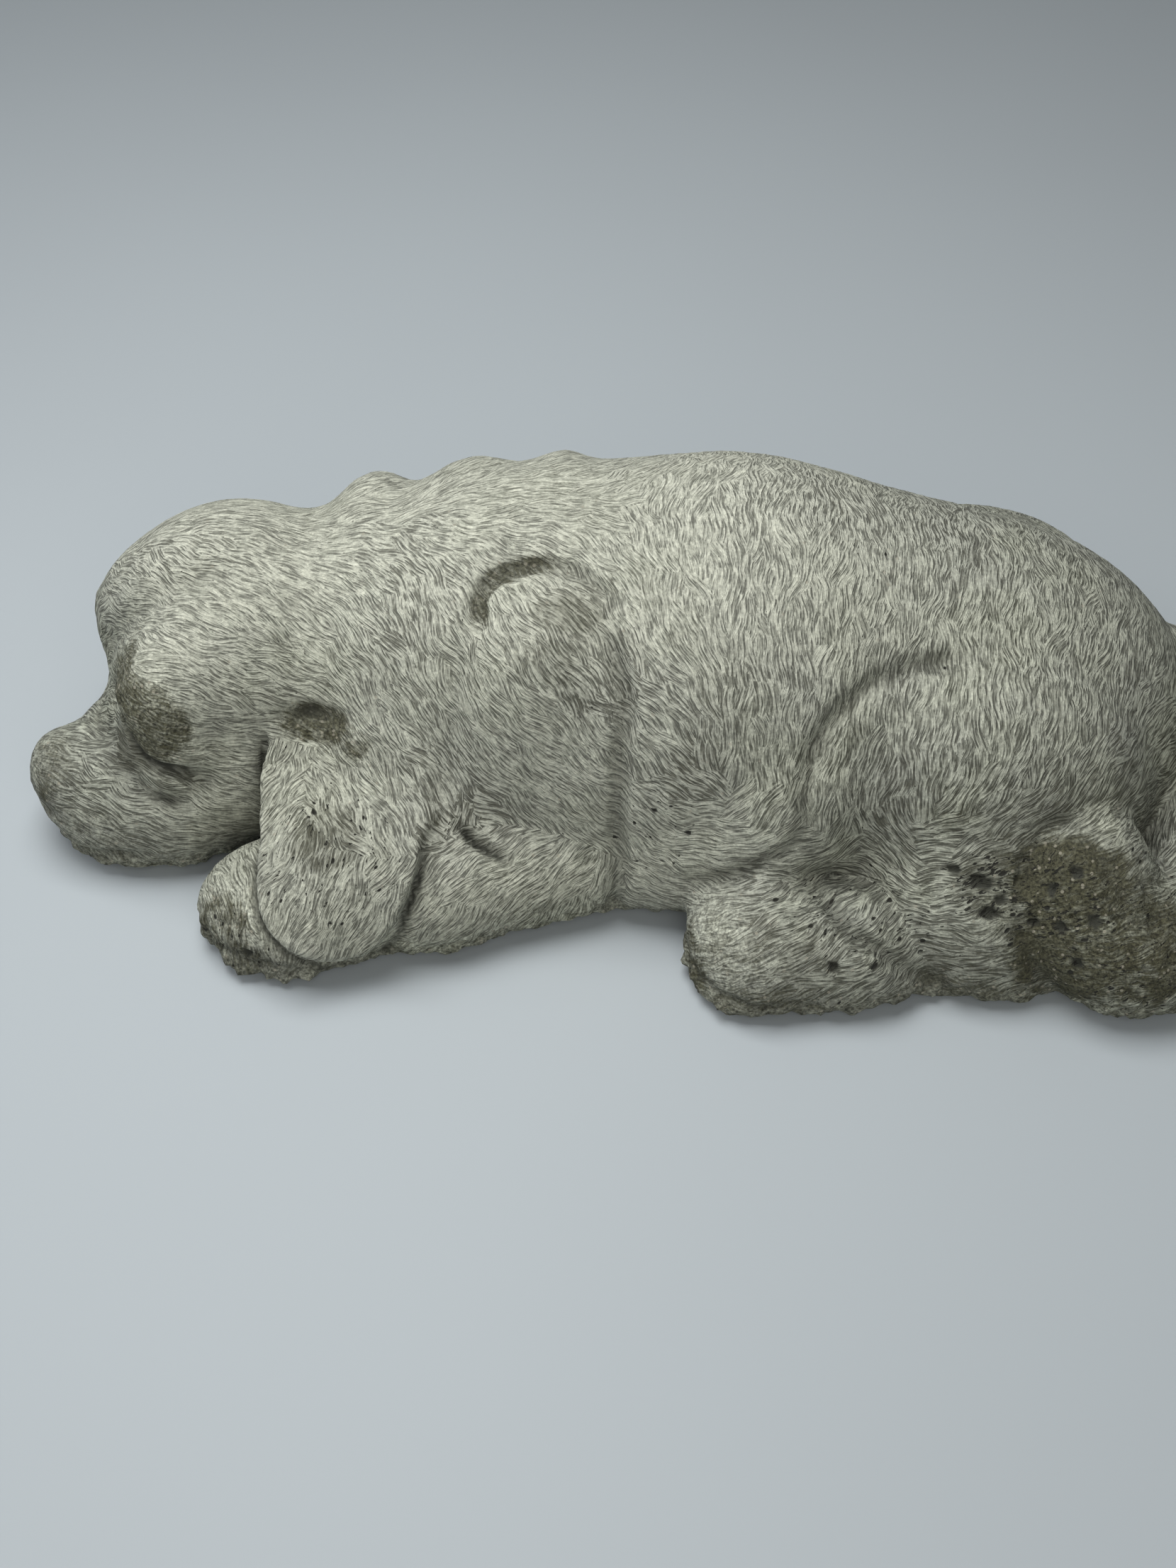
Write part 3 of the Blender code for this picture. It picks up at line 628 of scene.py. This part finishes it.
mask["sandy"] = np.maximum.reduce([
    mask["worn"],
    0.7 * spot(points, (28, -38, 12), (30, 22, 20)), 0.65 * spot(points, (-100, -40, 10), (24, 16, 20)),
    0.6 * spot(points, (124, -26, 30), (30, 24, 24)), 0.5 * spot(points, (-152, -6, 14), (22, 18, 14)),
    0.7 * spot(points, (-164, 2, 28), (12, 14, 12))])
rimHeight = 12.0 + 4.0 * latticeNoise(points / 14.0, 5)
mask["rim"] = (1 - smoothStep(0.4, 1.35, z / rimHeight)) * smoothStep(0.05, 0.8, z)
atLeast("sandy", mask["rim"])
front = spot(points, (-100, -40, 2), (30, 18, 16)) + spot(points, (30, -42, 4), (28, 22, 16))
# The pale wash with painted light: paler on faces that look up, higher up and towards the head, the side the
# lamps light best.
mask["washAndLight"] = smoothStep(0.15, 0.95, facingUp) * smoothStep(25, 85, z)
mask["washAndLight"] *= 1 - 0.75 * smoothStep(10, 120, x)
atLeast("washAndLight", 0.52 * (1 - smoothStep(10, 70, x)) * smoothStep(-150, -115, x) * smoothStep(6, 20, z))
atLeast("washAndLight", 0.7 * spot(points, (-82, -38, 20), (15, 16, 14)))
bead = np.exp(-((z - 4.6 - 1.4 * latticeNoise(points / 9.0, 13)) / 2.0) ** 2) * np.clip(front, 0, 1)
bead *= smoothStep(-0.5, 0.3, latticeNoise(points / 7.0, 18))

# Relief in millimetres along the normal. The real strokes are 1.4 mm apart; here they are 3 mm
# apart, the least that this skin can carry, and the material adds the finer ones.
heights = [latticeNoise(layer.reshape(-1, 3) / (fur["length"], fur["pitch"], 1.0), 1).reshape(quads.shape)
           for layer in strokes]
perCorner = share * heights[0] + (1 - share) * heights[1]
mask["ridge"] = np.bincount(quads.ravel(), perCorner.ravel()) / np.bincount(quads.ravel())
cut, mask["recessShade"] = np.zeros(len(points)), np.zeros(len(points))
for line, depth, shadeAmount in lines.values():
    away, reach = besideLine(points, normals, line)
    away += 0.5 * np.abs(latticeNoise(points / 4.0, 15))
    fade = smoothStep(0, 1, reach)
    cut = np.maximum(cut, depth * fade * np.exp(-(away / 1.4) ** 2))
    # Painted shade along the bottom of the line.
    atLeast("recessShade", shadeAmount * fade * np.exp(-(away / 0.9) ** 2))

# The near ear's edge: a gap along its outline, wider below, where the flap's own side shows, with painted
# shade in it.
axes, flat, outline = flatOutline(nearEar, puppy["earFaces"])
edge = ringDistance(*(axes @ points.T), outline) + 0.4 * latticeNoise(points / 5.0, 17)
low = 1 - smoothStep(12, 24, z)
earSide = smoothStep(0.0, 0.3, normals @ unit(puppy["earFaces"])) * (points[:, 1] < 12) * (x < -40)
earSide *= np.where(x < -85, 1 - smoothStep(44, 52, z), 1 - smoothStep(30, 40, z))
gap = earSide * np.exp(-((edge - 1.0 - 1.8 * low) / 1.0) ** 2)
cut = np.maximum(cut, 1.5 * gap)
# Painted shade in the gap.
atLeast("recessShade", 0.8 * gap)
# How closed in each place is, near by and further off: painted shade goes there.
slope = np.linalg.norm(gradient, axis=1)


def closedIn(reach, gain, least):
    clearance = figure(points + reach * normals) / (reach * slope)
    return np.clip(gain * (1 - clearance) - least, 0, 1)


mask["hollowShade"] = np.maximum(closedIn(2.0, 1.5, 0.1), 0.6 * closedIn(6.0, 2.0, 0.2))
ownFur = (1 - 0.85 * mask["worn"]) * (1 - mask["rim"])
relief = fur["height"] * mask["ridge"] * ownFur - cut
relief += mask["sandy"] * 0.22 * latticeNoise(points / 3.0, 19)
relief += 0.5 * earSide * np.exp(-((edge + 1.2) / 1.3) ** 2)
relief += 0.16 * latticeNoise(points / 11.0, 7) + 0.25 * latticeNoise(points / 26.0, 8)
relief += mask["worn"] * (0.30 * latticeNoise(points / 2.8, 9) + 0.25 * latticeNoise(points / 5.0, 10) - 0.2)
relief -= 1.6 * smoothStep(0.3, 0.8, mask["gouged"] * (1 + 0.8 * ragged))
# Painted shade in the gouges.
atLeast("recessShade", 1.3 * smoothStep(0.3, 0.7, mask["gouged"] * (1 + 0.8 * ragged)))
relief -= mask["pitted"] * 1.3 * smoothStep(0.30, 0.50, latticeNoise(points / (3.4, 3.4, 2.4), 16))
relief += mask["rim"] * (1.3 * latticeNoise(points / 4.6, 11) + 0.9 * latticeNoise(points / 2.8, 12) - 0.3)
relief += bead * (1.7 + 1.3 * latticeNoise(points / 3.2, 14))
# The pale wash with a painted highlight on the bead's raised lumps.
atLeast("washAndLight", 0.8 * bead * smoothStep(-0.4, 0.4, latticeNoise(points / 3.2, 14)))
# A groove just above the rim's bead, with painted shade in it.
above = np.exp(-((z - 9.5 - 1.4 * latticeNoise(points / 9.0, 13)) / 1.3) ** 2) * np.clip(front, 0, 1)
relief -= 0.8 * above
atLeast("recessShade", 0.45 * above)
relief *= smoothStep(0.0, 0.6, z)
shaped = points + relief[:, None] * normals
shaped[points[:, 2] <= 0.0, 2] = 0.0
shaped = np.clip(shaped, points.min(0), points.max(0))

scale = puppy["length"] / puppy["figure"]
lowest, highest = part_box("puppy")
middle = (points.max(0) + points.min(0)) / 2
offset = np.array([(lowest[0] + highest[0]) / 2 - middle[0] * scale,
                   (lowest[1] + highest[1]) / 2 - middle[1] * scale, 0])
mesh = bpy.data.meshes.new("puppy")
mesh.from_pydata(np.clip(shaped * scale + offset, lowest, highest).tolist(), [], quads.tolist())
for name, values in mask.items():
    mesh.attributes.new(name, "FLOAT", "POINT").data.foreach_set("value", values.astype(np.float32))
for name, values in (("tuftNear", strokes[0]), ("tuftNext", strokes[1])):
    layer = mesh.attributes.new(name, "FLOAT_VECTOR", "CORNER")
    layer.data.foreach_set("vector", values.astype(np.float32).ravel())
layer = mesh.attributes.new("tuftShare", "FLOAT", "CORNER")
layer.data.foreach_set("value", share.astype(np.float32).ravel())

# The flat underside needs no fine faces. Kept in order, so that every run joins the same ones.
editing = bmesh.new()
editing.from_mesh(mesh)
under = [face for face in editing.faces if all(vertex.co.z < 1e-7 for vertex in face.verts)]
underVertices = list(dict.fromkeys(vertex for face in under for vertex in face.verts))
underEdges = list(dict.fromkeys(edge for face in under for edge in face.edges))
bmesh.ops.dissolve_limit(editing, angle_limit=0.01, use_dissolve_boundaries=False,
                         verts=underVertices, edges=underEdges)
bmesh.ops.triangulate(editing, faces=[face for face in editing.faces if len(face.verts) > 4])
editing.to_mesh(mesh)
editing.free()
mesh.shade_smooth()
triangles = sum(len(face.vertices) - 2 for face in mesh.polygons)
print("relief carved, up to", round(float(relief.max()), 2), "mm,", triangles, "triangles")


def toLinear(hexColour):
    parts = [int(hexColour[i:i + 2], 16) / 255 for i in (1, 3, 5)]
    return tuple(c / 12.92 if c <= 0.04045 else ((c + 0.055) / 1.055) ** 2.4 for c in parts) + (1.0,)


def addNode(tree, kind, inputs=None, **settings):
    made = tree.nodes.new(kind)
    for name, value in settings.items():
        setattr(made, name, value)
    for key, value in (inputs or {}).items():
        if isinstance(value, bpy.types.Node):
            value = next(socket for socket in value.outputs if socket.enabled)
        if isinstance(value, bpy.types.NodeSocket):
            tree.links.new(value, made.inputs[key])
        else:
            made.inputs[key].default_value = value
    return made


# Cast sand-cement concrete: matt all over, pale where cement dust lies on the raised parts, with painted
# light on faces that look up, and darker, a little olive, where the sand shows in worn places, with painted
# shade in hollows, grooves and pits.
concrete = {
    # The groove colour is partly bare concrete and partly painted shade; the hollow and pit colours are
    # painted shade; the wash is pale dust with painted light.
    "ridge": "#b5b6a3", "shadedGroove": "#3d3d30", "washAndLight": "#cccbb9", "sand": "#434130", "lilac": "#9a9a98",
    "hollowShade": "#3f3f37", "pit": "#2b2a24", "grit": "#aaa391",
    # Sizes in mm. A stroke's are those of half a wave: strokes 1.4 mm apart, as in the photograph.
    "strokeWidth": 0.62, "strokeLength": 4.8, "tearWidth": 1.0, "tearLength": 2.4,
    "grain": 0.8, "gritSpacing": 1.1, "lump": 2.38, "pitSpacing": 3.6, "stain": 35.7,
    "strokeHeight": 0.34, "roughness": (0.82, 0.98), "specular": 0.3,
}


def castConcrete():
    material = bpy.data.materials.new("cast concrete")
    material.use_nodes = True
    tree = material.node_tree
    shader = tree.nodes["Principled BSDF"]
    place = addNode(tree, "ShaderNodeTexCoord").outputs["Object"]
    ridge, worn, dirty, rim, sandy, washAndLight, pitted, recessShade, hollowShade, share = [
        addNode(tree, "ShaderNodeAttribute", attribute_name=name).outputs["Fac"]
        for name in ("ridge", "worn", "dirty", "rim", "sandy", "washAndLight", "pitted", "recessShade", "hollowShade",
                     "tuftShare")]
    lays = [addNode(tree, "ShaderNodeAttribute", attribute_name=name).outputs["Vector"]
            for name in ("tuftNear", "tuftNext")]

    # The carved strokes and finer hairs between them, drawn out along each tuft's own direction.
    waves = []
    for width, length in ((1.0, 1.0), (0.55, 0.7)):
        scales = (1 / (length * concrete["strokeLength"]), 1 / (width * concrete["strokeWidth"]), 1)
        both = []
        for lay in lays:
            scaled = addNode(tree, "ShaderNodeVectorMath", {0: lay, 1: scales}, operation="MULTIPLY")
            both.append(addNode(tree, "ShaderNodeTexNoise",
                                {"Vector": scaled, "Scale": 1.0, "Detail": 1.0, "Roughness": 0.5}))
        wave = addNode(tree, "ShaderNodeMix", {0: share, 2: both[1], 3: both[0]}, data_type="FLOAT")
        waves.append(addNode(tree, "ShaderNodeMapRange",
                             {"Value": wave, "From Min": 0.415, "From Max": 0.555}))
    stroke, hair = waves

    # How far the fur is worn off, and the sand, lumps, pits and gouges that show instead.
    carved = addNode(tree, "ShaderNodeMath", {0: sandy, 1: -0.85, 2: 1.0}, operation="MULTIPLY_ADD")
    stain = addNode(tree, "ShaderNodeTexNoise",
                    {"Vector": place, "Scale": 1000 / concrete["stain"], "Detail": 5.0, "Roughness": 0.62})
    blotch = addNode(tree, "ShaderNodeMapRange",
                     {"Value": stain, "From Min": 0.38, "From Max": 0.64, "To Max": 0.3})
    grain = addNode(tree, "ShaderNodeTexNoise",
                    {"Vector": place, "Scale": 1000 / concrete["grain"], "Detail": 2.0, "Roughness": 0.6})
    lump = addNode(tree, "ShaderNodeTexNoise",
                   {"Vector": place, "Scale": 1000 / concrete["lump"], "Detail": 3.0, "Roughness": 0.65})
    stretched = addNode(tree, "ShaderNodeVectorMath", {0: lays[0], 1: (0.6, 1, 1)}, operation="MULTIPLY")
    bubble = addNode(tree, "ShaderNodeTexVoronoi", {"Vector": stretched, "Scale": 1 / concrete["pitSpacing"]},
                     feature="F1", voronoi_dimensions="2D")
    draw = addNode(tree, "ShaderNodeSeparateColor", {0: bubble.outputs["Color"]})
    bore = addNode(tree, "ShaderNodeMath", {0: draw.outputs[1], 1: 0.15, 2: 0.09}, operation="MULTIPLY_ADD")
    reach = addNode(tree, "ShaderNodeMath", {0: bubble.outputs["Distance"], 1: bore}, operation="DIVIDE")
    hole = addNode(tree, "ShaderNodeMapRange",
                   {"Value": reach, "From Min": 0.6, "From Max": 1.1, "To Min": 1.0, "To Max": 0.0})
    chanceOfPit = addNode(tree, "ShaderNodeMath", {0: pitted, 1: 0.36, 2: 0.006}, operation="MULTIPLY_ADD")
    lucky = addNode(tree, "ShaderNodeMath", {0: draw, 1: chanceOfPit}, operation="LESS_THAN")
    pit = addNode(tree, "ShaderNodeMath", {0: hole, 1: lucky}, operation="MULTIPLY")
    tears = (1 / concrete["tearLength"], 1 / concrete["tearWidth"], 1)
    torn = addNode(tree, "ShaderNodeVectorMath", {0: lays[0], 1: tears}, operation="MULTIPLY")
    torn = addNode(tree, "ShaderNodeTexNoise",
                   {"Vector": torn, "Scale": 1.0, "Detail": 2.0, "Roughness": 0.6})
    torn = addNode(tree, "ShaderNodeMath", {0: pitted, 1: 0.17, 2: torn}, operation="MULTIPLY_ADD")
    gouge = addNode(tree, "ShaderNodeMapRange", {"Value": torn, "From Min": 0.74, "From Max": 0.775})
    pit = addNode(tree, "ShaderNodeMath", {0: pit, 1: gouge}, operation="MAXIMUM")

    # Colour: grooves dark, partly with painted shade, ridges pale, then the wash with painted light, the sand
    # of the worn places and the pits.
    height = addNode(tree, "ShaderNodeMath", {0: stroke, 1: 0.60, 2: 0.04}, operation="MULTIPLY_ADD")
    height = addNode(tree, "ShaderNodeMath", {0: hair, 1: 0.36, 2: height}, operation="MULTIPLY_ADD")
    height = addNode(tree, "ShaderNodeMath", {0: ridge, 1: 0.12, 2: height}, operation="MULTIPLY_ADD",
                     use_clamp=True)
    sandHeight = addNode(tree, "ShaderNodeMapRange", {"Value": lump, "From Min": 0.34, "From Max": 0.62})
    height = addNode(tree, "ShaderNodeMix", {0: sandy, 2: height, 3: sandHeight}, data_type="FLOAT")
    body = addNode(tree, "ShaderNodeMix",
                   {0: height, 6: toLinear(concrete["shadedGroove"]), 7: toLinear(concrete["ridge"])},
                   data_type="RGBA")
    body = addNode(tree, "ShaderNodeMix", {0: blotch, 6: body, 7: toLinear(concrete["lilac"])},
                   data_type="RGBA")
    chalkAndLight = addNode(tree, "ShaderNodeMath", {0: height, 1: 0.8, 2: 0.15}, operation="MULTIPLY_ADD")
    chalkAndLight = addNode(tree, "ShaderNodeMath", {0: chalkAndLight, 1: washAndLight}, operation="MULTIPLY")
    body = addNode(tree, "ShaderNodeMix", {0: chalkAndLight, 6: body, 7: toLinear(concrete["washAndLight"])},
                   data_type="RGBA")
    # The worn and dirty patches have ragged edges, where single strokes still stand.
    fray = addNode(tree, "ShaderNodeMath", {0: stroke, 1: -0.35, 2: 0.12}, operation="MULTIPLY_ADD")
    fray = addNode(tree, "ShaderNodeMath", {0: stain, 1: 1.4, 2: fray}, operation="MULTIPLY_ADD")
    fray = addNode(tree, "ShaderNodeMath", {0: fray, 1: -0.7}, operation="ADD")
    for amount, most in ((dirty, 0.6), (worn, 0.92), (rim, 0.5)):
        frayed = addNode(tree, "ShaderNodeMath", {0: amount, 1: fray}, operation="ADD")
        bared = addNode(tree, "ShaderNodeMapRange",
                        {"Value": frayed, "From Min": 0.10, "From Max": 0.85, "To Max": most})
        body = addNode(tree, "ShaderNodeMix", {0: bared, 6: body, 7: toLinear(concrete["sand"])},
                       data_type="RGBA")
    # Single grains, stronger where the sand is bare.
    least = addNode(tree, "ShaderNodeMath", {0: sandy, 1: -0.42, 2: 0.76}, operation="MULTIPLY_ADD")
    most = addNode(tree, "ShaderNodeMath", {0: sandy, 1: 0.62, 2: 1.18}, operation="MULTIPLY_ADD")
    speck = addNode(tree, "ShaderNodeMapRange",
                    {"Value": grain, "From Min": 0.3, "From Max": 0.7, "To Min": least, "To Max": most})
    body = addNode(tree, "ShaderNodeVectorMath", {0: body, 1: speck}, operation="MULTIPLY")
    # Pale grit, about a millimetre across, lies bare in the sand.
    grit = addNode(tree, "ShaderNodeTexVoronoi", {"Vector": place, "Scale": 1000 / concrete["gritSpacing"]})
    drawn = addNode(tree, "ShaderNodeSeparateColor", {0: grit.outputs["Color"]})
    bareGrit = addNode(tree, "ShaderNodeMath", {0: sandy, 1: 0.09, 2: 0.004}, operation="MULTIPLY_ADD")
    bareGrit = addNode(tree, "ShaderNodeMath", {0: drawn, 1: bareGrit}, operation="LESS_THAN")
    grit = addNode(tree, "ShaderNodeMapRange",
                   {"Value": grit.outputs["Distance"], "From Min": 0.3, "From Max": 0.5, "To Min": 0.6,
                    "To Max": 0.0})
    grit = addNode(tree, "ShaderNodeMath", {0: grit, 1: bareGrit}, operation="MULTIPLY")
    body = addNode(tree, "ShaderNodeMix", {0: grit, 6: body, 7: toLinear(concrete["grit"])}, data_type="RGBA")
    # Painted shade: darker in closed-in places and along creases, cracks, gaps, gouges and grooves.
    shade = addNode(tree, "ShaderNodeMath", {0: hollowShade, 1: 0.5, 2: recessShade}, operation="MULTIPLY_ADD",
                    use_clamp=True)
    body = addNode(tree, "ShaderNodeMix", {0: shade, 6: body, 7: toLinear(concrete["hollowShade"])},
                   data_type="RGBA")
    # Pits and gouges near black: painted shade in the holes.
    body = addNode(tree, "ShaderNodeMix", {0: pit, 6: body, 7: toLinear(concrete["pit"])}, data_type="RGBA")
    tree.links.new(body.outputs[2], shader.inputs["Base Color"])

    # Surface: the strokes and grains stand up from the skin, the pits go in.
    relief = addNode(tree, "ShaderNodeMath", {0: hair, 1: 0.4, 2: stroke}, operation="MULTIPLY_ADD")
    relief = addNode(tree, "ShaderNodeMath", {0: relief, 1: carved}, operation="MULTIPLY")
    relief = addNode(tree, "ShaderNodeMath", {0: grain, 1: 0.5, 2: relief}, operation="MULTIPLY_ADD")
    coarse = addNode(tree, "ShaderNodeMath", {0: sandy, 1: 2.4, 2: 0.3}, operation="MULTIPLY_ADD")
    relief = addNode(tree, "ShaderNodeMath", {0: lump, 1: coarse, 2: relief}, operation="MULTIPLY_ADD")
    relief = addNode(tree, "ShaderNodeMath", {0: pit, 1: -2.2, 2: relief}, operation="MULTIPLY_ADD")
    bump = addNode(tree, "ShaderNodeBump",
                   {"Strength": 1.0, "Distance": concrete["strokeHeight"] / 1000, "Height": relief})
    tree.links.new(bump.outputs[0], shader.inputs["Normal"])
    smoothest, roughest = concrete["roughness"]
    rough = addNode(tree, "ShaderNodeMapRange", {"Value": grain, "To Min": smoothest, "To Max": roughest})
    tree.links.new(rough.outputs[0], shader.inputs["Roughness"])
    shader.inputs["Specular IOR Level"].default_value = concrete["specular"]
    return material


mesh.materials.append(castConcrete())
statue = bpy.data.objects.new("puppyStatue", mesh)
bpy.context.scene.collection.objects.link(statue)
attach(statue, "root")
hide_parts("puppy")
print("puppy dressed")


# Painted board: even, pale and half matt, so shadows on it are soft and it mirrors nothing.
floorBoard = {"reach": 4.0, "pale": "#b4babc", "dull": "#aeb3b5", "roughness": 0.6}


def paintedBoard():
    material = bpy.data.materials.new("painted board")
    material.use_nodes = True
    tree = material.node_tree
    shader = tree.nodes["Principled BSDF"]
    place = addNode(tree, "ShaderNodeTexCoord").outputs["Object"]
    cloud = addNode(tree, "ShaderNodeTexNoise", {"Vector": place, "Scale": 3.0, "Detail": 2.0})    # 333 mm
    tint = addNode(tree, "ShaderNodeMix",
                   {0: cloud, 6: toLinear(floorBoard["pale"]), 7: toLinear(floorBoard["dull"])},
                   data_type="RGBA")
    tree.links.new(tint.outputs[2], shader.inputs["Base Color"])
    shader.inputs["Roughness"].default_value = floorBoard["roughness"]
    return material


reach = floorBoard["reach"]
board = bpy.data.meshes.new("floor")
board.from_pydata([(-reach, -reach, 0), (reach, -reach, 0), (reach, reach, 0), (-reach, reach, 0)],
                  [], [(0, 1, 2, 3)])
board.materials.append(paintedBoard())
floor = bpy.data.objects.new("floor", board)
bpy.context.scene.collection.objects.link(floor)
print("floor laid")

# Soft boxes overhead and in front, a weaker one at the left, and a weak even fill.
lights = {
    "overhead": {"at": (-0.16, 0.02, 0.66), "aim": (-0.04, 0.0, 0.03), "size": 0.4, "power": 3.9,
                 "colour": "#fafdff"},
    "left": {"at": (-0.9, -0.1, 0.5), "aim": (-0.05, 0.0, 0.04), "size": 0.5, "power": 1.4,
             "colour": "#eef3ff"},
    "front": {"at": (0.1, -0.9, 0.7), "aim": (0.0, 0.0, 0.03), "size": 0.9, "power": 4.1,
              "colour": "#fbfbf9"},
}
for name, light in lights.items():
    lamp = bpy.data.lights.new(name, "AREA")
    lamp.shape = "SQUARE"
    lamp.size = light["size"]
    lamp.energy = light["power"]
    lamp.color = toLinear(light["colour"])[:3]
    holder = bpy.data.objects.new(name, lamp)
    holder.location = light["at"]
    way = np.array(light["aim"]) - np.array(light["at"])
    holder.rotation_euler = (math.atan2(math.hypot(way[0], way[1]), -way[2]), 0, math.atan2(-way[0], way[1]))
    bpy.context.scene.collection.objects.link(holder)

world = bpy.data.worlds.new("soft room")
world.use_nodes = True
fill = world.node_tree.nodes["Background"]
fill.inputs["Color"].default_value = toLinear("#dfe5ea")
fill.inputs["Strength"].default_value = 0.2
bpy.context.scene.world = world
bpy.context.scene.view_settings.view_transform = "Standard"
print("lit by", len(lights), "lamps")

# The photograph: looking down at 48 degrees, from a little to the rump's side of square.
view = {"from": (21.6, -338.6, 417.5), "tilt": 42.0, "turn": 5.0, "focalPixels": 2600.0,
        "frameHeight": 2212.0}
camera = bpy.data.cameras.new("camera")
camera.sensor_width = 36.0
camera.lens = view["focalPixels"] / view["frameHeight"] * camera.sensor_width
camera.clip_start = 0.01
watcher = bpy.data.objects.new("camera", camera)
watcher.location = np.array(view["from"]) * scale + offset
watcher.rotation_euler = (math.radians(view["tilt"]), 0, math.radians(view["turn"]))
bpy.context.scene.collection.objects.link(watcher)
bpy.context.scene.camera = watcher

print("scene ready")
